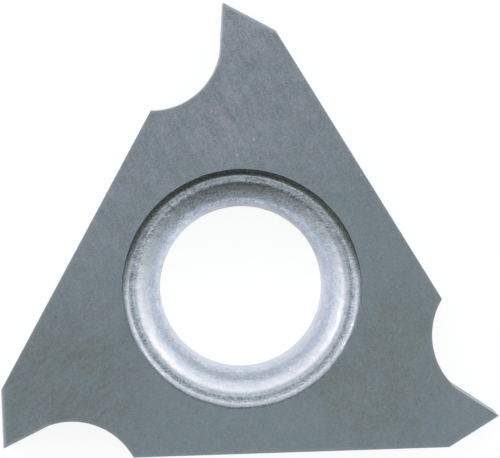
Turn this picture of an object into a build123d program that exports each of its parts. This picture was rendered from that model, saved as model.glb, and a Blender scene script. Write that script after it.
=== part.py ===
"""Three-corner grooving insert of cemented carbide.

A pressed and sintered triangular plate, ground on both faces, on its three long sides and at its corners.
Each corner is a hook: a flat flank and a flat rake land meet in the cutting point, and a round gullet runs
from the land out through the long side. A screw hole goes through the middle: a shallow recess with a
hollow wall, a flat ring, and a rounded seat that runs into the bore.

The plate lies on its back face, which is at Z = 0, with the recessed face up. Z is the axis of the screw
hole, Y points at one corner and X is parallel to the long side opposite it. Lengths are in millimetres and
angles in degrees.
"""

import os
from math import acos, cos, degrees, radians, sin

from build123d import *

# Plate
corner_count = 3
first_corner = 90.0  # direction of one corner, which is on the Y axis
inscribed_diameter = 9.525  # circle that touches the long sides
thickness = 3.18

# Hook at each corner
point_radius = 8.294  # from the axis of the screw hole to the cutting point
point_offset = 1.93  # turn from the corner's centre line to the cutting point, about the axis
flank_relief = 30.45  # between the flank and the long side behind it
wedge_angle = 65.3  # between the flank and the rake land
rake_land = 1.46  # length of the flat land behind the cutting point
corner_radius = 0.05  # rounds the two ends of the cutting edge, all along the flank

# Gullet in front of each rake land
gullet_radius = 2.03
gullet_break = 7.2  # turn at the end of the land, where the gullet starts
gullet_sweep = 150.0  # carries the gullet's arc out through the long side

# Screw hole
bore_diameter = 4.74
mouth_diameter = 6.33  # inside the flat ring, where the seat's lip starts
lip_radius = 0.31  # rounds the seat's lip
seat_entry = 25.0  # slope at which the lip runs into the seat
land_width = 0.075  # flat ring around the mouth
recess_depth = 0.17
cove_radius = 0.24  # of the recess's hollow wall


def heading(angle):
    """The unit vector that points along an angle in a sketch."""
    return Vector(cos(radians(angle)), sin(radians(angle)))


# Half of the angle between two long sides, and the way that each line of a hook runs in a sketch whose
# X axis is the corner's centre line
half_corner = 90 - 180 / corner_count
flank_heading = 180 + half_corner + flank_relief
rake_heading = flank_heading - wedge_angle
gullet_heading = rake_heading - gullet_break

# A distance from the axis that is past every corner of the plate
outside = inscribed_diameter + gullet_radius

# What is ground off each corner: the end beyond the flank, and the gullet
with BuildSketch() as corner_cut:
    with BuildLine():
        cutting_point = heading(point_offset) * point_radius
        flank = PolarLine(cutting_point, outside, flank_heading)
        land = PolarLine(cutting_point, rake_land, rake_heading)
        gullet = JernArc(land @ 1, heading(gullet_heading), gullet_radius, -gullet_sweep)
        Polyline(
            gullet @ 1,
            (outside, (gullet @ 1).Y),
            (outside, (flank @ 1).Y),
            flank @ 1,
        )
    make_face()

with BuildSketch() as outline:
    RegularPolygon(inscribed_diameter / 2, corner_count, major_radius=False, rotation=first_corner)
    with PolarLocations(0, corner_count, start_angle=first_corner):
        add(corner_cut.sketch, mode=Mode.SUBTRACT)

# The lip starts level with the flat ring and the seat ends upright at the bore, each without an edge. The
# cove starts level too, and is cut off by the plate's face.
bore_radius = bore_diameter / 2
mouth = Vector(mouth_diameter / 2, thickness - recess_depth)
ring_edge = mouth + (land_width, 0)
seat_start = mouth_diameter / 2 - lip_radius * sin(radians(seat_entry))
seat_radius = (seat_start - bore_radius) / (1 - sin(radians(seat_entry)))
cove_sweep = degrees(acos(1 - recess_depth / cove_radius))

# Half of the screw hole's section
with BuildSketch(Plane.XZ) as hole_section:
    with BuildLine():
        lip = JernArc(mouth, heading(180), lip_radius, seat_entry)
        seat = JernArc(lip @ 1, lip % 1, seat_radius, 90 - seat_entry)
        cove = JernArc(ring_edge, heading(0), cove_radius, cove_sweep)
        Line(mouth, ring_edge)
        Polyline(
            seat @ 1,
            (bore_radius, 0),
            (0, 0),
            (0, thickness),
            cove @ 1,
        )
    make_face()

with BuildPart() as insert:
    extrude(outline.sketch, amount=thickness)
    for corner in range(corner_count):
        flank_way = heading(first_corner + corner * 360 / corner_count + flank_heading)
        fillet(insert.edges().filter_by(Axis((0, 0, 0), flank_way)), radius=corner_radius)
    revolve(hole_section.sketch, axis=Axis.Z, mode=Mode.SUBTRACT)

insert.part.label = "carbide_insert"
os.makedirs("parts", exist_ok=True)
export_step(insert.part, "parts/carbide_insert.step")
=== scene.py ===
"""Looks of the ground carbide insert, which lies on its back face on a white floor.

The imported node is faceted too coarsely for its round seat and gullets, so one finer mesh of the same sizes
stands for it. Lengths are in millimetres and angles in degrees, like the part's source, and they become
metres and radians where Blender takes them. Colours are linear.
"""

import functools
import math

import bmesh
import bpy
from mathutils import Matrix, Vector, noise


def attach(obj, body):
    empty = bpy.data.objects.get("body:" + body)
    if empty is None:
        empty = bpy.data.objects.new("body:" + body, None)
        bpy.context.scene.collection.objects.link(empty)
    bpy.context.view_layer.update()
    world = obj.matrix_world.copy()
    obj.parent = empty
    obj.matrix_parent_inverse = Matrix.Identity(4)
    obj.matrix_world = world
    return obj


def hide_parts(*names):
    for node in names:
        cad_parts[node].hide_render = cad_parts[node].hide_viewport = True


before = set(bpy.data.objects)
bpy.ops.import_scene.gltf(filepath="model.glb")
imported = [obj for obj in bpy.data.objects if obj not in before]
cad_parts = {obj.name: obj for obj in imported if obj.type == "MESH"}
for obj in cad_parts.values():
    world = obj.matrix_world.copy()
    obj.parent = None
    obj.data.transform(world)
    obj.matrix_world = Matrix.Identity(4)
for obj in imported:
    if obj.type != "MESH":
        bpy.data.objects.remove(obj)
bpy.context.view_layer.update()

MM = 0.001

# Plate
CORNERS = 3
FIRST_CORNER = 90.0
CORNER_ANGLES = [FIRST_CORNER + corner * 360 / CORNERS for corner in range(CORNERS)]
HALF_CORNER = 90 - 180 / CORNERS
INSCRIBED_RADIUS = 4.7625
THICKNESS = 3.18

# Hook
POINT_RADIUS = 8.294
POINT_OFFSET = 1.93
FLANK_RELIEF = 30.45
WEDGE_ANGLE = 65.3
RAKE_LAND = 1.46
CORNER_RADIUS = 0.05

# Gullet
GULLET_RADIUS = 2.03
GULLET_BREAK = 7.2
GULLET_STEPS = 72

# Screw hole
BORE_RADIUS = 2.37
MOUTH_RADIUS = 3.165
LIP_RADIUS = 0.31
SEAT_ENTRY = 25.0
LAND_WIDTH = 0.075
RECESS_DEPTH = 0.17
COVE_RADIUS = 0.24
COVE_SWEEP = math.degrees(math.acos(1 - RECESS_DEPTH / COVE_RADIUS))
LAND_RADIUS = MOUTH_RADIUS + LAND_WIDTH
RECESS_RADIUS = LAND_RADIUS + COVE_RADIUS * math.sin(math.radians(COVE_SWEEP))
HOLE_STEPS = 512
COVE_STEPS = 18
LIP_STEPS = 8
SEAT_STEPS = 44
BORE_STEPS = 16

# Where the walls meet the two faces: the corner radius along the flanks, and a fine break elsewhere. The
# corner radius runs out within a short length of the wall before the heel and past the cutting point.
EDGE_BREAK = 0.012
BORE_BREAK = 0.05
BREAK_STEPS = 8
HEEL_RUN_OUT = 0.14
POINT_RUN_OUT = 0.08

# Sine of the turn below which two stretches of the outline count as one smooth line
SMOOTH_TURN = 0.1

# Grain that the press and the furnace leave in the screw hole, coarse with a finer one on it
GRAIN_HEIGHT = 0.006
GRAIN_SIZE = 0.22
FINE_GRAIN_SIZE = 0.45 * GRAIN_SIZE
FINE_GRAIN_SHARE = 0.5
FINE_GRAIN_SHIFT = Vector((7, 3, 5))

# The recess's edge strays from its circle, in long waves and short ones. The first rings of the hole follow
# it, less and less. The noise is read along a circle of its own.
RIM_WANDER = 0.012
WAVE_CIRCLE = 3.4
LONG_WAVE = 0.6
SHORT_WAVE = 0.15
SHORT_WAVE_SHARE = 0.5
WANDERING_RINGS = 10

# Material slots of the mesh
GROUND, WALLS, SINTERED = range(3)


# ---------------------------------------------------------------- plan

def heading(degrees):
    """The unit vector in the plan, or in a section, that points along an angle."""
    return Vector((math.cos(math.radians(degrees)), math.sin(math.radians(degrees))))


def turned(point, degrees):
    """A plan point turned about the screw hole's axis."""
    return Matrix.Rotation(math.radians(degrees), 2) @ point


def arc(centre, radius, start, end, steps):
    """The places along an arc, from one angle to another."""
    angles = [start + (end - start) * step / steps for step in range(steps + 1)]
    return [Vector(centre) + radius * heading(angle) for angle in angles]


def hook_places():
    """The named places of one corner, in a plan whose X axis is the corner's centre line."""
    flank_angle = 180 + HALF_CORNER + FLANK_RELIEF
    rake_angle = flank_angle - WEDGE_ANGLE
    point = POINT_RADIUS * heading(POINT_OFFSET)
    land_end = point + RAKE_LAND * heading(rake_angle)

    # The flank runs from the point back to the long side
    flank = heading(flank_angle)
    side_outwards = heading(HALF_CORNER - 90)
    flank_length = (INSCRIBED_RADIUS - point.dot(side_outwards)) / flank.dot(side_outwards)

    # The gullet turns clockwise from the land until it meets the long side ahead
    side_angle = 90 - HALF_CORNER
    start_angle = rake_angle - GULLET_BREAK + 90
    centre = land_end - GULLET_RADIUS * heading(start_angle)
    reach = INSCRIBED_RADIUS - centre.dot(heading(side_angle))
    end_angle = side_angle + math.degrees(math.acos(reach / GULLET_RADIUS))
    return {
        "side_backwards": heading(180 + HALF_CORNER),
        "heel": point + flank_length * flank,
        "point": point,
        "rake": heading(rake_angle),
        "land_end": land_end,
        "gullet_centre": centre,
        "gullet_angles": (start_angle, end_angle),
    }


def hook():
    """One corner's outline as (point, radius along the edge after it, whether it is a corner).

    The outline runs counter-clockwise, from just before the heel, where the flank leaves the long side, to
    the end of the gullet.
    """
    at = hook_places()
    outline = [
        (at["heel"] + HEEL_RUN_OUT * at["side_backwards"], EDGE_BREAK, False),
        (at["heel"], CORNER_RADIUS, True),
        (at["point"], EDGE_BREAK, True),
        (at["point"] + POINT_RUN_OUT * at["rake"], EDGE_BREAK, False),
    ]
    gullet = arc(at["gullet_centre"], GULLET_RADIUS, *at["gullet_angles"], GULLET_STEPS)
    for step, place in enumerate(gullet):
        outline.append((place, EDGE_BREAK, step in (0, GULLET_STEPS)))
    return outline


def plan_outline():
    """The three hooks joined into one closed outline."""
    outline = []
    for angle in CORNER_ANGLES:
        outline += [(turned(point, angle), radius, is_corner) for point, radius, is_corner in hook()]
    return outline


def insets(outline):
    """For each point, the plan move inwards to where a face turns flat, and the depth where its wall does."""
    moves = []
    for index, (point, radius, _) in enumerate(outline):
        before, radius_before, _ = outline[index - 1]
        after = outline[(index + 1) % len(outline)][0]
        inward_before = (point - before).normalized().orthogonal()
        inward_after = (after - point).normalized().orthogonal()
        turning = inward_before.cross(inward_after)
        depth = max(radius_before, radius)
        if abs(turning) < SMOOTH_TURN:
            moves.append(((inward_before + inward_after).normalized() * depth, depth))
            continue
        along_x = radius_before * inward_after.y - radius * inward_before.y
        along_y = radius * inward_before.x - radius_before * inward_after.x
        moves.append((Vector((along_x, along_y)) / turning, depth))
    return moves


# ---------------------------------------------------------------- screw hole

def hole_profile():
    """The hole's section as (radius, height, share of the grain), from the recess's edge to the back."""
    floor = THICKNESS - RECESS_DEPTH
    entry = heading(SEAT_ENTRY)
    seat_radius = (MOUTH_RADIUS - LIP_RADIUS * entry.y - BORE_RADIUS) / (1 - entry.y)
    seat_height = floor - LIP_RADIUS * (1 - entry.x) - seat_radius * entry.x

    cove = arc((LAND_RADIUS, floor + COVE_RADIUS), COVE_RADIUS, COVE_SWEEP - 90, -90, COVE_STEPS)
    lip = arc((MOUTH_RADIUS, floor - LIP_RADIUS), LIP_RADIUS, 90, 90 + SEAT_ENTRY, LIP_STEPS)
    seat = arc((BORE_RADIUS + seat_radius, seat_height), seat_radius, 90 + SEAT_ENTRY, 180, SEAT_STEPS)
    edge = arc((BORE_RADIUS + BORE_BREAK, BORE_BREAK), BORE_BREAK, 180, 270, BREAK_STEPS)

    profile = [(*cove[0], 0.0)]
    profile += [(*place, 1.0) for place in cove[1:] + lip + seat[1:]]
    for step in range(1, BORE_STEPS + 1):
        share = step / BORE_STEPS
        profile.append((BORE_RADIUS, seat_height + (BORE_BREAK - seat_height) * share, 1.0 - share))
    profile += [(*place, 0.0) for place in edge[1:]]
    return profile


def grain(radius, height, turn):
    """How far the sintered surface stands in or out at a place in the hole; the turn is in radians."""
    place = Vector((radius * math.cos(turn), radius * math.sin(turn), height))
    coarse = noise.noise(place / GRAIN_SIZE)
    fine = noise.noise(place / FINE_GRAIN_SIZE + FINE_GRAIN_SHIFT)
    return GRAIN_HEIGHT * (coarse + FINE_GRAIN_SHARE * fine)


def rim_wander(turn):
    """How far the recess's edge strays from its circle, where grinding cut through the sintered skin."""
    place = WAVE_CIRCLE * Vector((math.cos(turn), math.sin(turn), 0))
    return RIM_WANDER * (noise.noise(place / LONG_WAVE) + SHORT_WAVE_SHARE * noise.noise(place / SHORT_WAVE))


# ---------------------------------------------------------------- mesh

def add_ring(mesh, places):
    """A ring of vertices, given in millimetres."""
    return [mesh.verts.new(Vector(place) * MM) for place in places]


def add_strip(mesh, upper, lower, slot, corners=()):
    """Quads between two rings that run counter-clockwise, facing out of the ring if upper is above."""
    count = len(upper)
    faces = []
    for index in range(count):
        after = (index + 1) % count
        face = mesh.faces.new((upper[index], lower[index], lower[after], upper[after]))
        face.material_index = slot
        face.smooth = True
        faces.append(face)
    for index in corners:
        mesh.edges.get((upper[index], lower[index])).smooth = False
    return faces


def ring_edges(mesh, ring):
    """A ring's own edges."""
    return [mesh.edges.get((ring[index - 1], vertex)) for index, vertex in enumerate(ring)]


def crease(mesh, *rings):
    """Marks the edges of some rings sharp."""
    for ring in rings:
        for edge in ring_edges(mesh, ring):
            edge.smooth = False


def add_plate(mesh):
    """The walls, rounded where they meet the faces; returns the rings that bound the top and back faces."""
    outline = plan_outline()
    moves = insets(outline)
    corners = [index for index, (_, _, is_corner) in enumerate(outline) if is_corner]
    rings = []
    for step in range(BREAK_STEPS + 1):
        angle = math.radians(90 - 90 * step / BREAK_STEPS)
        places = []
        for (point, _, _), (move, depth) in zip(outline, moves):
            place = point + (1 - math.cos(angle)) * move
            places.append((*place, depth * (1 - math.sin(angle))))
        rings.append(places)
    top = [add_ring(mesh, [(x, y, THICKNESS - depth) for x, y, depth in places]) for places in rings]
    back = [add_ring(mesh, places) for places in reversed(rings)]
    loops = top + back
    for upper, lower in zip(loops, loops[1:]):
        add_strip(mesh, upper, lower, WALLS, corners)
    crease(mesh, top[0], top[-1], back[0], back[-1])
    return top[0], back[-1]


def add_hole(mesh):
    """The recess, land, seat and bore; returns the rings at the top and back faces."""
    profile = hole_profile()
    turns = [2 * math.pi * step / HOLE_STEPS for step in range(HOLE_STEPS)]
    wanders = [rim_wander(turn) for turn in turns]
    rings = []
    for index, (radius, height, grained) in enumerate(profile):
        radius_before, height_before, _ = profile[max(index - 1, 0)]
        radius_after, height_after, _ = profile[min(index + 1, len(profile) - 1)]
        along = Vector((radius_after - radius_before, height_after - height_before)).normalized()
        wandering = max(1 - index / WANDERING_RINGS, 0)
        places = []
        for turn, wander in zip(turns, wanders):
            lift = grained * grain(radius, height, turn)
            place_radius = radius + along.y * lift + wandering * wander
            place_height = height - along.x * lift
            places.append((place_radius * math.cos(turn), place_radius * math.sin(turn), place_height))
        rings.append(add_ring(mesh, places))
    for upper, lower in zip(rings, rings[1:]):
        for face in add_strip(mesh, upper, lower, SINTERED):
            face.normal_flip()
    crease(mesh, rings[0], rings[-1])
    return rings[0], rings[-1]


def add_face(mesh, outer, inner, upwards):
    """A flat ground face between an outer ring and the hole's ring."""
    edges = ring_edges(mesh, outer) + ring_edges(mesh, inner)
    made = bmesh.ops.triangle_fill(mesh, edges=edges, use_beauty=True)
    for face in made["geom"]:
        if not isinstance(face, bmesh.types.BMFace):
            continue
        face.material_index = GROUND
        face.normal_update()
        if (face.normal.z > 0) != upwards:
            face.normal_flip()


def build_insert():
    """The insert as one closed mesh object."""
    mesh = bmesh.new()
    top_outer, back_outer = add_plate(mesh)
    top_inner, back_inner = add_hole(mesh)
    add_face(mesh, top_outer, top_inner, True)
    add_face(mesh, back_outer, back_inner, False)
    data = bpy.data.meshes.new("insert")
    mesh.normal_update()
    mesh.to_mesh(data)
    mesh.free()
    insert = bpy.data.objects.new("insert", data)
    bpy.context.collection.objects.link(insert)
    return insert


# ---------------------------------------------------------------- nodes

# The Mix node's sockets for colours
MIX_FACTOR, MIX_FIRST, MIX_SECOND, MIX_RESULT = 0, 6, 7, 2

# The value that a noise varies about
NOISE_MIDDLE = 0.5

# Share of a fleck's radius that is at full strength
FLECK_CORE = 0.6


def node(tree, kind, inputs=None, **settings):
    """A new node, with its settings and its inputs given as values or as the sockets that feed them."""
    made = tree.nodes.new(kind)
    for name, value in settings.items():
        setattr(made, name, value)
    for name, value in (inputs or {}).items():
        if isinstance(value, bpy.types.NodeSocket):
            tree.links.new(value, made.inputs[name])
        else:
            made.inputs[name].default_value = value
    return made


def maths(tree, operation, first, second=0.0):
    """The result of a Math node."""
    return node(tree, "ShaderNodeMath", {0: first, 1: second}, operation=operation).outputs["Value"]


def total(tree, *values):
    """Some values added up."""
    return functools.reduce(functools.partial(maths, tree, "ADD"), values)


def product(tree, *values):
    """Some values multiplied."""
    return functools.reduce(functools.partial(maths, tree, "MULTIPLY"), values)


def least(tree, *values):
    """The smallest of some values."""
    return functools.reduce(functools.partial(maths, tree, "MINIMUM"), values)


def most(tree, *values):
    """The largest of some values."""
    return functools.reduce(functools.partial(maths, tree, "MAXIMUM"), values)


def weighted(tree, *pairs):
    """The sum of some (value, weight) pairs."""
    return total(tree, *[product(tree, value, weight) for value, weight in pairs])


def between(tree, share, first, second):
    """What lies a share of the way from a first value to a second."""
    gap = maths(tree, "SUBTRACT", second, first)
    return total(tree, first, product(tree, gap, share))


def vector_maths(tree, operation, first, second=None, output="Vector"):
    """The result of a Vector Math node."""
    inputs = {0: first} if second is None else {0: first, 1: second}
    return node(tree, "ShaderNodeVectorMath", inputs, operation=operation).outputs[output]


def scaled(tree, vector, gain):
    """A vector or a colour times one value."""
    inputs = {0: vector, "Scale": gain}
    return node(tree, "ShaderNodeVectorMath", inputs, operation="SCALE").outputs["Vector"]


def dot(tree, vector, direction):
    """How far a vector reaches along a direction."""
    return vector_maths(tree, "DOT_PRODUCT", vector, direction, output="Value")


def length(tree, vector):
    """A vector's length."""
    return vector_maths(tree, "LENGTH", vector, output="Value")


def distance(tree, place, other):
    """How far apart two places are."""
    return vector_maths(tree, "DISTANCE", place, other, output="Value")


def in_plan(tree, vector):
    """A vector without its height."""
    return vector_maths(tree, "MULTIPLY", vector, (1, 1, 0))


def remap(tree, value, span, result, interpolation="LINEAR"):
    """A value moved from one span to another, and kept inside it."""
    low, high = span
    to_low, to_high = result
    inputs = {"Value": value, "From Min": low, "From Max": high, "To Min": to_low, "To Max": to_high}
    return node(tree, "ShaderNodeMapRange", inputs, interpolation_type=interpolation).outputs["Result"]


def rise(tree, value, low, high):
    """0 up to a low value, 1 from a high one."""
    return remap(tree, value, (low, high), (0.0, 1.0))


def fall(tree, value, low, high):
    """1 up to a low value, 0 from a high one."""
    return remap(tree, value, (low, high), (1.0, 0.0))


def band(tree, value, rising, falling):
    """1 between two values, with a span to rise over and a span to fall over."""
    return product(tree, rise(tree, value, *rising), fall(tree, value, *falling))


def ramp(tree, value, stops):
    """The colour that a value picks from (position, colour) stops."""
    made = node(tree, "ShaderNodeValToRGB", {"Fac": value})
    elements = made.color_ramp.elements
    while len(elements) < len(stops):
        elements.new(1.0)
    for element, (position, colour) in zip(elements, stops):
        element.position = position
        element.color = (*colour, 1.0)
    return made.outputs["Color"]


def mixed(tree, factor, first, second):
    """A first colour mixed with a second by a factor; the second is a socket or a plain colour."""
    if not isinstance(second, bpy.types.NodeSocket):
        second = (*second, 1.0)
    inputs = {MIX_FACTOR: factor, MIX_FIRST: first, MIX_SECOND: second}
    return node(tree, "ShaderNodeMix", inputs, data_type="RGBA").outputs[MIX_RESULT]


def place_in(tree):
    """The place on the object, in millimetres."""
    return scaled(tree, node(tree, "ShaderNodeTexCoord").outputs["Object"], 1 / MM)


def mapped(tree, location=(0, 0, 0), degrees=0, size=(1, 1, 1)):
    """The place on the object, as seen by a texture of a size that is moved and turned in the plan."""
    inputs = {
        "Vector": place_in(tree),
        "Location": location,
        "Rotation": (0, 0, math.radians(degrees)),
        "Scale": size,
    }
    return node(tree, "ShaderNodeMapping", inputs, vector_type="TEXTURE").outputs["Vector"]


def mottle(tree, size, detail, roughness=0.85, seed=0.0):
    """Cloudy noise whose largest blotches have a size."""
    place = mapped(tree, location=(seed, 0, 0), size=(size, size, size))
    inputs = {"Vector": place, "Scale": 1.0, "Detail": detail, "Roughness": roughness}
    return node(tree, "ShaderNodeTexNoise", inputs).outputs["Fac"]


def streaks(tree, degrees, size, detail=2.0):
    """Noise with a length, a width and a height, drawn out along an angle of the plan."""
    inputs = {"Vector": mapped(tree, degrees=degrees, size=size), "Scale": 1.0, "Detail": detail}
    return node(tree, "ShaderNodeTexNoise", inputs).outputs["Fac"]


def flecks(tree, spacing, size, share, seed):
    """1 on small round flecks: about one per spacing, of which a share is kept."""
    place = mapped(tree, location=(seed, seed, 0), size=(spacing, spacing, spacing))
    cells = node(tree, "ShaderNodeTexVoronoi", {"Vector": place, "Scale": 1.0}).outputs
    reach = size / spacing
    near = fall(tree, cells["Distance"], FLECK_CORE * reach, reach)
    chance = node(tree, "ShaderNodeSeparateColor", {"Color": cells["Color"]}).outputs["Red"]
    return product(tree, near, maths(tree, "GREATER_THAN", chance, 1.0 - share))


def patch(tree, centre, inner, outer, ragged):
    """1 within an inner distance of a place on the top face, 0 beyond an outer one, ragged in between."""
    away = distance(tree, place_in(tree), (*centre, THICKNESS))
    strayed = total(tree, away, product(tree, ragged, outer - inner))
    return remap(tree, strayed, (inner, outer), (1.0, 0.0), "SMOOTHSTEP")


def carbide(name):
    """A metal material; returns it with its tree and its shader."""
    material = bpy.data.materials.new(name)
    material.use_nodes = True
    tree = material.node_tree
    shader = tree.nodes["Principled BSDF"]
    shader.inputs["Metallic"].default_value = 1.0
    return material, tree, shader


def add_bump(tree, shader, height, depth):
    """Relief of a depth in millimetres, from a height between 0 and 1."""
    inputs = {"Height": height, "Strength": 1.0, "Distance": depth * MM}
    bump = node(tree, "ShaderNodeBump", inputs)
    tree.links.new(bump.outputs["Normal"], shader.inputs["Normal"])


# ---------------------------------------------------------------- ground faces

GROUND_COLOUR = (0.188, 0.229, 0.254)

# The way that the grinding wheel's marks run, and the scratches. Sizes are (length, width, height).
WHEEL_ANGLE = 117
SCUFF_SIZE = (1.1, 0.16, 0.16)
WHEEL_LINE_SIZE = (0.8, 0.03, 0.03)
SCRATCH_ANGLE = 122
SCRATCH_SIZE = (0.55, 0.045, 0.045)

# A painted highlight, which brightens along a direction and near some places, given as (x, y, strength)
HIGHLIGHT_COLOUR = (0.266, 0.288, 0.338)
HIGHLIGHT_CLIMB = (-0.34, 0.94, 0)
HIGHLIGHT_SPAN = (0.0, 4.2)
HIGHLIGHT_SPREAD = 0.50
HIGHLIGHT_CENTRES = ((-0.35, 4.5, 0.27), (-0.10, 7.8, 0.90))
HIGHLIGHT_REACH = (0.1, 1.6)
HIGHLIGHT_PATCHES = (0.37, 0.64)
HIGHLIGHT_GAIN = 1.6

# Olive tarnish around some places, given as (x, y, reach). It is drawn out along an angle, most on the left.
TARNISH_COLOUR = (0.152, 0.172, 0.150)
TARNISH_SPOTS = ((-5.0, -2.6, 3.0), (3.7, -2.6, 3.0), (4.6, -0.9, 1.7))
TARNISH_CORE = 1 / 3
TARNISH_ANGLE = 35
TARNISH_STREAK_SIZE = (0.50, 0.14, 0.14)
TARNISH_LEFT_TO_RIGHT = (-2.0, 2.0)
TARNISH_DRAWN = (1.0, 0.2)
TARNISH_PATCHES = (0.41, 0.63)
TARNISH_STRENGTH = 0.90

# Tones: the darkest and the palest that each noise makes the skin, which is paler towards the lower side
NOISE_SPAN = (0.3, 0.7)
SPECKLE_SPAN = (0.25, 0.75)
SPECKLE_TONES = (0.82, 1.18)
CLOUD_TONES = (0.97, 1.03)
LOWER_SPAN = (-4.0, 1.5)
LOWER_TONES = (1.10, 1.0)
COOL_TINT = (0.965, 1.005, 1.01)
WARM_TINT = (1.035, 0.995, 1.0)
TINTS = ((0.35, COOL_TINT), (0.65, WARM_TINT))

# Pale flecks and scratches with painted glints, which fade out down the plate, and dark pits
FLECK_GLINT_COLOUR = (0.40, 0.41, 0.45)
FINE_FLECK_STRENGTH = 0.55
SCRATCH_SPAN = (0.64, 0.74)
SCRATCH_STRENGTH = 0.34
GLINT_FADE = (0.3, 1.6)
PIT_COLOUR = (0.10, 0.10, 0.09)
FINE_PIT_STRENGTH = 0.40

# Wear along the edges, with painted highlight on the flanks and lands that face the light: its width, and its
# strength at each corner's flank and land, and at the other edges
EDGE_COLOUR = (0.50, 0.53, 0.59)
WEAR_WIDTH = 0.16
FLANK_WEARS_AND_HIGHLIGHTS = (1.0, 1.0, 0.40)
LAND_WEARS_AND_HIGHLIGHTS = (0.26, 0.42, 0.0)
EDGE_WEAR = 0.19

# The painted highlight's patches are smoother than what lies between them
PATCH_SPAN = (0.35, 0.65)
PATCH_ROUGHNESS = (0.36, 0.30)
GROUND_RELIEF = 0.0012


def behind_line(tree, place, outward, on_line):
    """How far a place is behind a line of the plan that faces outward."""
    return maths(tree, "SUBTRACT", on_line.dot(outward), dot(tree, place, (*outward, 0)))


def edge_gaps(tree):
    """How far a place on a face is from each flank, from each land, and from the nearest other edge."""
    place = in_plan(tree, place_in(tree))
    at = hook_places()
    flanks, lands, others = [], [], []
    for angle in CORNER_ANGLES:
        names = ("point", "heel", "land_end", "gullet_centre")
        point, heel, land_end, gullet = (turned(at[name], angle) for name in names)
        side_outwards = heading(angle + HALF_CORNER - 90)
        flank_outwards = (heel - point).normalized().orthogonal()
        land_outwards = (point - land_end).normalized().orthogonal()
        flanks.append(behind_line(tree, place, flank_outwards, point))
        others.append(behind_line(tree, place, side_outwards, INSCRIBED_RADIUS * side_outwards))
        others.append(maths(tree, "SUBTRACT", distance(tree, place, (*gullet, 0)), GULLET_RADIUS))

        # The land's line counts only beside the land
        beside = maths(tree, "ABSOLUTE", behind_line(tree, place, land_outwards, point))
        middle = distance(tree, place, (*point.lerp(land_end, 0.5), 0))
        past_ends = most(tree, maths(tree, "SUBTRACT", middle, RAKE_LAND / 2), 0.0)
        lands.append(total(tree, beside, past_ends))
    return flanks, lands, least(tree, *others)


def wear(tree, gap, strength):
    """How worn a face is by an edge: a strength at the edge, fading over the wear's width."""
    worn = fall(tree, gap, 0.0, WEAR_WIDTH)
    return product(tree, worn, worn, strength)


def edge_wear_and_highlight(tree):
    """How worn a face is by its edges, with painted highlight on the flanks and lands that face the light."""
    flanks, lands, other = edge_gaps(tree)
    strengths = FLANK_WEARS_AND_HIGHLIGHTS + LAND_WEARS_AND_HIGHLIGHTS
    worn = [wear(tree, gap, strength) for gap, strength in zip(flanks + lands, strengths)]
    return most(tree, wear(tree, other, EDGE_WEAR), *worn)


def highlight_on(tree, climb, patches, ragged):
    """How strong the painted highlight is: it grows up the plate and to the left, in patches."""
    highlight = remap(tree, climb, HIGHLIGHT_SPAN, (0.0, HIGHLIGHT_SPREAD))
    for *centre, strength in HIGHLIGHT_CENTRES:
        thicker = patch(tree, centre, *HIGHLIGHT_REACH, ragged)
        highlight = total(tree, highlight, product(tree, thicker, strength))
    return product(tree, highlight, remap(tree, patches, HIGHLIGHT_PATCHES, (0.0, HIGHLIGHT_GAIN)))


def tarnish_on(tree, tarnished, blots):
    """How thick the tarnish is: in round blots on the right, and in drawn-out ones on the left."""
    slant = streaks(tree, TARNISH_ANGLE, TARNISH_STREAK_SIZE, detail=4.0)
    round_blots = mottle(tree, size=0.22, detail=4.0, roughness=0.7, seed=71.0)
    dots = mottle(tree, size=0.11, detail=2.0, roughness=0.8, seed=33.0)
    across = dot(tree, place_in(tree), (1, 0, 0))
    drawn = remap(tree, across, TARNISH_LEFT_TO_RIGHT, TARNISH_DRAWN)
    small_blots = between(tree, drawn, round_blots, slant)
    patches = weighted(tree, (blots, 0.36), (small_blots, 0.32), (dots, 0.32))
    return product(tree, tarnished, remap(tree, patches, TARNISH_PATCHES, (0.0, TARNISH_STRENGTH)))


def pale_marks_and_glints(tree, highlight, climb):
    """Pale flecks and scratches with painted glints, most of them in the painted highlight."""
    in_highlight = least(tree, highlight, 1.0)
    fine = flecks(tree, spacing=0.12, size=0.030, share=0.12, seed=17.0)
    coarse = flecks(tree, spacing=0.6, size=0.035, share=0.30, seed=3.0)
    scratches = streaks(tree, SCRATCH_ANGLE, SCRATCH_SIZE, detail=1.0)
    scratches = remap(tree, scratches, SCRATCH_SPAN, (0.0, SCRATCH_STRENGTH))
    fine = product(tree, fine, in_highlight, FINE_FLECK_STRENGTH)
    marks = most(tree, fine, product(tree, scratches, in_highlight), coarse)
    return product(tree, marks, rise(tree, climb, *GLINT_FADE))


def dark_pits(tree, tarnished):
    """Fine pits in the tarnish, and a few larger ones everywhere."""
    fine = flecks(tree, spacing=0.14, size=0.034, share=0.08, seed=23.0)
    coarse = flecks(tree, spacing=0.7, size=0.03, share=0.25, seed=8.0)
    return most(tree, product(tree, fine, tarnished, FINE_PIT_STRENGTH), coarse)


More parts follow.
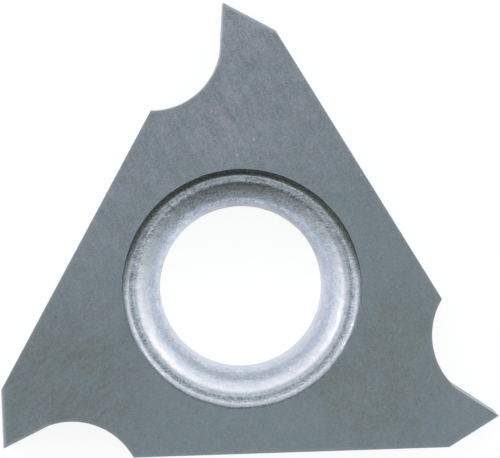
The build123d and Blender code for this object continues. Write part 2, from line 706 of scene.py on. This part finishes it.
def ground_carbide():
    """The flat-ground skin: a painted highlight in scuffed patches near one corner, olive tarnish near the
    others, and worn edges with painted highlight.
    """
    material, tree, shader = carbide("ground_carbide")
    cloud = mottle(tree, size=0.9, detail=4.0, roughness=0.7)
    blots = mottle(tree, size=0.34, detail=4.0, roughness=0.8, seed=26.0)
    speckle = mottle(tree, size=0.042, detail=2.0, seed=15.0)
    scuffs = streaks(tree, WHEEL_ANGLE, SCUFF_SIZE, detail=4.0)
    ragged = maths(tree, "SUBTRACT", cloud, NOISE_MIDDLE)
    dusty = maths(tree, "SUBTRACT", speckle, NOISE_MIDDLE)
    patches = weighted(tree, (cloud, 0.28), (scuffs, 0.34), (blots, 0.38), (dusty, 0.65))
    climb = dot(tree, place_in(tree), HIGHLIGHT_CLIMB)

    # Painted highlight, pale in patches up the plate and near one corner
    highlight = highlight_on(tree, climb, patches, ragged)
    colour = ramp(tree, highlight, [(0.0, GROUND_COLOUR), (1.0, HIGHLIGHT_COLOUR)])
    spots = [patch(tree, centre, TARNISH_CORE * reach, reach, ragged) for *centre, reach in TARNISH_SPOTS]
    tarnished = most(tree, *spots)
    colour = mixed(tree, tarnish_on(tree, tarnished, blots), colour, TARNISH_COLOUR)

    # Grain and tints
    grey = product(
        tree,
        remap(tree, speckle, SPECKLE_SPAN, SPECKLE_TONES),
        remap(tree, cloud, NOISE_SPAN, CLOUD_TONES),
        remap(tree, blots, NOISE_SPAN, CLOUD_TONES),
        remap(tree, climb, LOWER_SPAN, LOWER_TONES),
    )
    tint = ramp(tree, mottle(tree, size=0.45, detail=3.0, roughness=0.7, seed=61.0), TINTS)
    colour = vector_maths(tree, "MULTIPLY", scaled(tree, colour, grey), tint)

    # Pale flecks and scratches, with painted glints that fade out down the plate
    colour = mixed(tree, pale_marks_and_glints(tree, highlight, climb), colour, FLECK_GLINT_COLOUR)
    colour = mixed(tree, dark_pits(tree, tarnished), colour, PIT_COLOUR)
    # Worn edges, with painted highlight on the flanks and lands that face the light
    colour = mixed(tree, edge_wear_and_highlight(tree), colour, EDGE_COLOUR)
    tree.links.new(colour, shader.inputs["Base Color"])
    tree.links.new(remap(tree, patches, PATCH_SPAN, PATCH_ROUGHNESS), shader.inputs["Roughness"])
    wheel_lines = streaks(tree, WHEEL_ANGLE, WHEEL_LINE_SIZE)
    add_bump(tree, shader, total(tree, wheel_lines, speckle), GROUND_RELIEF)
    return material


# ---------------------------------------------------------------- ground walls

# Tones, from an upright wall, over its rounded edge, to where it is level with the face. The roughness
# follows the same measure over the span of the rounding.
WALL_TONES = (
    (0.0, GROUND_COLOUR),
    (0.30, (0.640, 0.689, 0.814)),
    (0.70, (0.600, 0.647, 0.767)),
    (0.95, (0.480, 0.519, 0.608)),
    (1.0, (0.230, 0.260, 0.295)),
)
WALL_LINE_SIZE = (2.5, 2.5, 0.02)
WALL_GRAIN_TONES = (0.86, 1.14)
ROUNDING = (0.05, 0.40)
ROUNDING_ROUGHNESS = (0.30, 0.56)
WALL_RELIEF = 0.0015

# How far a cloud moves the roughness of the walls and of the hole
CLOUD_SPAN = (0.35, 0.65)
CLOUD_ROUGHNESS = (0.04, -0.04)


def wall_carbide():
    """The ground walls, lined along the outline, and paler where they round over into the faces."""
    material, tree, shader = carbide("wall_carbide")
    lines = streaks(tree, 0, WALL_LINE_SIZE, detail=3.0)
    cloud = mottle(tree, size=0.5, detail=4.0, seed=40.0)
    normal = node(tree, "ShaderNodeNewGeometry").outputs["Normal"]
    level = maths(tree, "ABSOLUTE", node(tree, "ShaderNodeSeparateXYZ", {0: normal}).outputs["Z"])

    grey = remap(tree, weighted(tree, (lines, 0.5), (cloud, 0.5)), CLOUD_SPAN, WALL_GRAIN_TONES)
    colour = scaled(tree, ramp(tree, level, WALL_TONES), grey)
    tree.links.new(colour, shader.inputs["Base Color"])
    rounded = remap(tree, level, ROUNDING, ROUNDING_ROUGHNESS)
    wander = remap(tree, cloud, CLOUD_SPAN, CLOUD_ROUGHNESS)
    tree.links.new(total(tree, rounded, wander), shader.inputs["Roughness"])
    add_bump(tree, shader, lines, WALL_RELIEF)
    return material


# ---------------------------------------------------------------- sintered hole

# Tones by the distance from a centre that is a little off the hole's axis. The span holds all of them.
SEAT_COLOUR = (0.785, 0.835, 0.93)
SHOULDER_COLOUR = (0.81, 0.82, 0.90)
LIP_COLOUR = (0.423, 0.466, 0.532)
LAND_COLOUR = (0.300, 0.347, 0.386)
COVE_COLOUR = (0.515, 0.555, 0.635)
TONE_CENTRE = (-0.028, 0.010, 0.0)
TONE_SPAN = (2.3, 3.5)
HOLE_TONES = (
    (2.72, SEAT_COLOUR),
    (2.82, SHOULDER_COLOUR),
    (2.97, SHOULDER_COLOUR),
    (3.055, LIP_COLOUR),
    (3.12, LIP_COLOUR),
    (3.15, LAND_COLOUR),
    (3.215, LAND_COLOUR),
    (3.265, COVE_COLOUR),
)

# Grain: strong on the land and where the seat is soiled, calm on the seat's shoulder, weak elsewhere. A
# pair of spans says over which radii it sets in and dies out.
LAND_BAND = ((3.10, 3.15), (3.22, 3.28))
CALM_BAND = ((2.66, 2.78), (2.95, 3.02))
CALM_SHARE = 0.6
WEAK_GRAIN = ((0.30, 0.70), (-0.24, 0.24))
STRONG_GRAIN = ((0.36, 0.60), (0.60, 1.28))
HOLE_RELIEF = 0.020
COVE_RELIEF_SHARE = 0.35

# Dirt and painted shade lie towards one side of the hole. From here on, a span that is named for a side holds
# cosines of the turn from that side, and the others hold radii.
DIRT_AND_SHADE_SIDE = 89
SOILED_SIDE = (0.30, 0.85)
SOILED_RADII = (2.45, 2.60)

# A darker, greener tint on the seat's shoulder: its border strays with the grain, and spreads inwards where
# it is faint
SHOULDER_TINT = (0.67, 0.72, 0.69)
SHOULDER_TINT_STRAY = 0.45
SHOULDER_TINT_SIDE = (0.35, 0.95)
SHOULDER_TINT_SHIFT = (-0.40, 0.0)
SHOULDER_TINT_BORDER = (2.625, 2.655)
SHOULDER_TINT_FADE = (2.68, 2.82)

# Painted shade near the bore, as (side, share of the light that it takes)
BORE_SHADES = ((66, 0.32), (300, 0.05))
BORE_SHADE_SIDE = (0.30, 0.95)
BORE_SHADE_FADE = (2.44, 2.60)

# Painted shade at the recess's edge: a dark rim, which is widest, darkest and roughest on one side. Its fade
# is in shares of its width.
RIM_SHADE_COLOUR = (0.120, 0.130, 0.112)
PALE_RIM_SHADE_COLOUR = (0.31, 0.335, 0.325)
RIM_WIDTH_SIDE = (-0.22, 0.50)
RIM_WIDTHS = (0.115, 0.230)
RIM_FADE = (0.3, 1.45)
RIM_SHARE_SIDE = (-0.15, 0.4)
RIM_SHARES = (0.80, 1.0)
RIM_SPECKLE = (1.10, 0.75)
RIM_DARK_SIDE = 0.35
RIM_ROUGH_SIDE = (0.0, 0.5)
RIM_ROUGHENING = (0.0, 0.28)

SEAT_ROUGHNESS = 0.42
LIP_ROUGHNESS = 0.31
COVE_ROUGHNESS = 0.20
SEAT_TO_LIP = (2.70, 3.00)
LAND_TO_COVE = (LAND_RADIUS, LAND_RADIUS + 0.05)


def side_share(tree, flat, radius, degrees):
    """The cosine of the turn about the hole's axis between a place and a side."""
    return maths(tree, "DIVIDE", dot(tree, flat, direction_at(degrees, 0)), radius)


def hole_tone(tree, flat):
    """The skin's tone, from the seat out to the recess's wall."""
    start, end = TONE_SPAN
    off_centre = length(tree, vector_maths(tree, "SUBTRACT", flat, TONE_CENTRE))
    stops = [((radius - start) / (end - start), colour) for radius, colour in HOLE_TONES]
    return ramp(tree, rise(tree, off_centre, *TONE_SPAN), stops)


def shoulder_tinted(tree, skin, radius, facing, grains):
    """The skin made darker and greener on the seat's shoulder towards one side, within a ragged border."""
    strayed = product(tree, maths(tree, "SUBTRACT", grains, NOISE_MIDDLE), SHOULDER_TINT_STRAY)
    border = total(tree, radius, strayed, remap(tree, facing, SHOULDER_TINT_SIDE, SHOULDER_TINT_SHIFT))
    tinted = product(tree, rise(tree, border, *SHOULDER_TINT_BORDER), fall(tree, radius, *SHOULDER_TINT_FADE))
    return mixed(tree, tinted, skin, vector_maths(tree, "MULTIPLY", skin, SHOULDER_TINT))


def shaded_near_bore(tree, skin, flat, radius):
    """The skin darkened by painted shade near the bore, which is strongest on some sides."""
    for degrees, loss in BORE_SHADES:
        on_side = side_share(tree, flat, radius, degrees)
        bore_shade = remap(tree, on_side, BORE_SHADE_SIDE, (0.0, loss), "SMOOTHSTEP")
        bore_shade = product(tree, bore_shade, fall(tree, radius, *BORE_SHADE_FADE))
        skin = scaled(tree, skin, maths(tree, "SUBTRACT", 1.0, bore_shade))
    return skin


def rim_shade_on(tree, radius, facing, speckle):
    """How strong the painted shade of the dark rim is at the recess's edge."""
    width = remap(tree, facing, RIM_WIDTH_SIDE, RIM_WIDTHS, "SMOOTHSTEP")
    depth = maths(tree, "DIVIDE", maths(tree, "SUBTRACT", RECESS_RADIUS, radius), width)
    rim = remap(tree, depth, RIM_FADE, (1.0, 0.0), "SMOOTHSTEP")
    share = remap(tree, facing, RIM_SHARE_SIDE, RIM_SHARES)
    return product(tree, rim, share, remap(tree, speckle, CLOUD_SPAN, RIM_SPECKLE))


def sintered_carbide():
    """The skin of the screw hole as it was sintered, with a grained land, and grain, a darker shoulder and
    painted shade towards one side.
    """
    material, tree, shader = carbide("sintered_carbide")
    flat = in_plan(tree, place_in(tree))
    radius = length(tree, flat)
    facing = side_share(tree, flat, radius, DIRT_AND_SHADE_SIDE)
    cloud = mottle(tree, size=0.30, detail=2.0, seed=90.0)
    speckle = mottle(tree, size=0.055, detail=1.0, seed=50.0)
    grains = weighted(tree, (cloud, 0.4), (speckle, 0.6))

    # The grain
    soiled = product(tree, rise(tree, facing, *SOILED_SIDE), rise(tree, radius, *SOILED_RADII))
    grained = most(tree, band(tree, radius, *LAND_BAND), soiled)
    unsoiled = maths(tree, "SUBTRACT", 1.0, soiled)
    calm = product(tree, band(tree, radius, *CALM_BAND), unsoiled, CALM_SHARE)
    lively = maths(tree, "SUBTRACT", 1.0, calm)
    weak = total(tree, product(tree, remap(tree, grains, *WEAK_GRAIN), lively), 1.0)
    strong = remap(tree, grains, *STRONG_GRAIN)
    skin = scaled(tree, hole_tone(tree, flat), between(tree, grained, weak, strong))

    # A darker shoulder, and painted shade near the bore and at the recess's edge
    # A darker, greener tint on the seat's shoulder towards one side
    skin = shoulder_tinted(tree, skin, radius, facing, grains)
    # Painted shade near the bore, strongest on some sides
    skin = shaded_near_bore(tree, skin, flat, radius)
    # Painted shade: a dark rim at the recess's edge
    rim = rim_shade_on(tree, radius, facing, speckle)
    rim_shade_colour = ramp(tree, facing, [(0.0, PALE_RIM_SHADE_COLOUR), (RIM_DARK_SIDE, RIM_SHADE_COLOUR)])
    skin = mixed(tree, rim, skin, rim_shade_colour)
    tree.links.new(skin, shader.inputs["Base Color"])

    # The recess's wall is smoother than the lip, which is smoother than the seat, and the painted dark rim is
    # rougher on one side
    rough = total(
        tree,
        remap(tree, radius, SEAT_TO_LIP, (SEAT_ROUGHNESS, LIP_ROUGHNESS)),
        remap(tree, radius, LAND_TO_COVE, (0.0, COVE_ROUGHNESS - LIP_ROUGHNESS)),
        product(tree, rim, remap(tree, facing, RIM_ROUGH_SIDE, RIM_ROUGHENING)),
        remap(tree, cloud, CLOUD_SPAN, CLOUD_ROUGHNESS),
    )
    tree.links.new(rough, shader.inputs["Roughness"])
    smoother = remap(tree, radius, LAND_TO_COVE, (1.0, COVE_RELIEF_SHARE))
    add_bump(tree, shader, product(tree, grains, smoother, lively), HOLE_RELIEF)
    return material


# ---------------------------------------------------------------- studio

# The floor, whose size is in metres. It glows where it is seen or mirrored, and has a darker colour there.
FLOOR_SIZE = 2.4
FLOOR_COLOUR = 0.80
SEEN_COLOUR = 0.20
MIRRORED_COLOUR = 0.50
SEEN_GLOW = 0.88
MIRRORED_GLOW = 0.60

# The sky: overhead, in a ring round the horizon, and on the dark side, at the back. Heights are sines of the
# elevation, and turns are given as cosines of the turn from the bright side.
ZENITH_LIGHT = 1.12
RING_LIGHT = 1.08
BACK_LIGHT = 0.10
BRIGHT_SIDE = 94
RING_TURN = (-0.95, 0.02)
HORIZON_SHARE = 0.75
HORIZON_HEIGHT = (0.05, 0.55)
OVERHEAD_HEIGHT = (0.95, 0.72)
BACK_TURN = (-0.40, -1.0)
BACK_LIFT = (0.0, 0.16)

# The sky's sides are brighter than its front and back, from a height upwards
SIDE_TURN = (0.0, 0.9)
SIDE_GAIN = (0.20, -0.05)
SIDE_HEIGHT = (0.48, 0.66)

# Two soft lamps as (azimuth, elevation). The cosines are where a lamp's light starts and is full.
LAMPS = ((158, 33), (35, 33))
LAMP_LIGHT = 1.3
LAMP_FADE = (0.9875, 0.9977)

# Near the horizon the sky is as white as the floor
WHITE_HEIGHT = (0.045, 0.07)

# Tints of the sky by how bright it is
WHITE = (1, 1, 1)
DIM_TINT = (0.88, 1.0, 0.97)
BACK_TINT = (0.91, 1.0, 0.79)
SKY_TINTS = ((0.1, BACK_TINT), (0.25, DIM_TINT), (0.65, DIM_TINT), (1.0, WHITE))


def direction_at(azimuth, elevation):
    """The unit vector that points along an azimuth from +X and an elevation."""
    return (*(math.cos(math.radians(elevation)) * heading(azimuth)), math.sin(math.radians(elevation)))


def add_floor():
    """The white floor. It is the white background where it is seen or mirrored, and keeps its shadows."""
    bpy.ops.mesh.primitive_plane_add(size=FLOOR_SIZE)
    floor = bpy.context.object
    floor.name = "floor"
    material = bpy.data.materials.new("floor_white")
    material.use_nodes = True
    tree = material.node_tree
    tree.nodes.remove(tree.nodes["Principled BSDF"])
    rays = node(tree, "ShaderNodeLightPath").outputs
    seen = rays["Is Camera Ray"]
    mirrored = most(tree, rays["Is Glossy Ray"], rays["Is Transmission Ray"])
    glow = weighted(tree, (seen, SEEN_GLOW), (mirrored, MIRRORED_GLOW))
    colour = between(tree, seen, between(tree, mirrored, FLOOR_COLOUR, MIRRORED_COLOUR), SEEN_COLOUR)
    glowing = node(tree, "ShaderNodeEmission", {"Strength": glow}).outputs["Emission"]
    shadowed = node(tree, "ShaderNodeBsdfDiffuse", {"Color": colour}).outputs["BSDF"]
    white = node(tree, "ShaderNodeAddShader", {0: glowing, 1: shadowed}).outputs["Shader"]
    tree.links.new(white, tree.nodes["Material Output"].inputs["Surface"])
    floor.data.materials.append(material)


def sky_light(tree, direction, height):
    """How bright the sky is in a direction of a height, without the lamps."""
    level = vector_maths(tree, "NORMALIZE", in_plan(tree, direction))
    turn = dot(tree, level, direction_at(BRIGHT_SIDE, 0))
    ring = remap(tree, turn, RING_TURN, (BACK_LIGHT, RING_LIGHT))
    horizon = remap(tree, height, HORIZON_HEIGHT, (HORIZON_SHARE, 1.0))
    side = remap(tree, maths(tree, "ABSOLUTE", turn), SIDE_TURN, SIDE_GAIN)
    side = product(tree, side, rise(tree, height, *SIDE_HEIGHT))
    ring = product(tree, ring, horizon, total(tree, side, 1.0))

    # The ring gives way to the zenith, and reaches higher on the dark side
    lowered = maths(tree, "SUBTRACT", height, remap(tree, turn, BACK_TURN, BACK_LIFT))
    low = remap(tree, lowered, OVERHEAD_HEIGHT, (0.0, 1.0), "SMOOTHSTEP")
    return between(tree, low, ZENITH_LIGHT, ring)


def add_world():
    """Soft studio light: bright overhead and round three sides, dark towards -Y, with two soft lamps."""
    world = bpy.data.worlds.new("studio")
    bpy.context.scene.world = world
    world.use_nodes = True
    tree = world.node_tree
    background = tree.nodes["Background"]
    direction = node(tree, "ShaderNodeTexCoord").outputs["Generated"]
    height = node(tree, "ShaderNodeSeparateXYZ", {0: direction}).outputs["Z"]
    light = sky_light(tree, direction, height)
    for azimuth, elevation in LAMPS:
        nearness = dot(tree, direction, direction_at(azimuth, elevation))
        light = total(tree, light, remap(tree, nearness, LAMP_FADE, (0.0, LAMP_LIGHT), "SMOOTHSTEP"))
    light = most(tree, light, fall(tree, height, *WHITE_HEIGHT))
    tree.links.new(ramp(tree, light, SKY_TINTS), background.inputs["Color"])
    tree.links.new(light, background.inputs["Strength"])


# ---------------------------------------------------------------- camera

CAMERA_DISTANCE = 150.0
CAMERA_LEAN = (-0.8, 2.3)
CAMERA_ROLL = -1.825
CAMERA_AIM = (0.284, 1.733, THICKNESS)
LENS = 374.08
SENSOR_WIDTH = 36.0

# The nearest and farthest that the camera sees, in metres
CAMERA_SEES = (0.01, 10.0)


def add_camera():
    """A long lens nearly straight above the ground face."""
    lean_x, lean_y = (math.sin(math.radians(angle)) for angle in CAMERA_LEAN)
    away = Vector((lean_x, lean_y, math.sqrt(1 - lean_x**2 - lean_y**2)))
    place = CAMERA_DISTANCE * away + Vector((0, 0, THICKNESS))
    forward = (Vector(CAMERA_AIM) - place).normalized()
    right = forward.cross(Vector((0, 1, 0))).normalized()
    axes = Matrix((right, right.cross(forward), -forward)).transposed()
    roll = Matrix.Rotation(math.radians(CAMERA_ROLL), 3, "Z")
    data = bpy.data.cameras.new("camera")
    data.lens = LENS
    data.sensor_width = SENSOR_WIDTH
    data.clip_start, data.clip_end = CAMERA_SEES
    camera = bpy.data.objects.new("camera", data)
    camera.matrix_world = Matrix.Translation(place * MM) @ (axes @ roll).to_4x4()
    bpy.context.collection.objects.link(camera)
    bpy.context.scene.camera = camera


# ---------------------------------------------------------------- scene

bpy.context.scene.view_settings.view_transform = "Standard"
add_camera()
add_world()
add_floor()

insert = build_insert()
for make_material in (ground_carbide, wall_carbide, sintered_carbide):
    insert.data.materials.append(make_material())
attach(insert, "root")
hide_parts("carbide_insert")
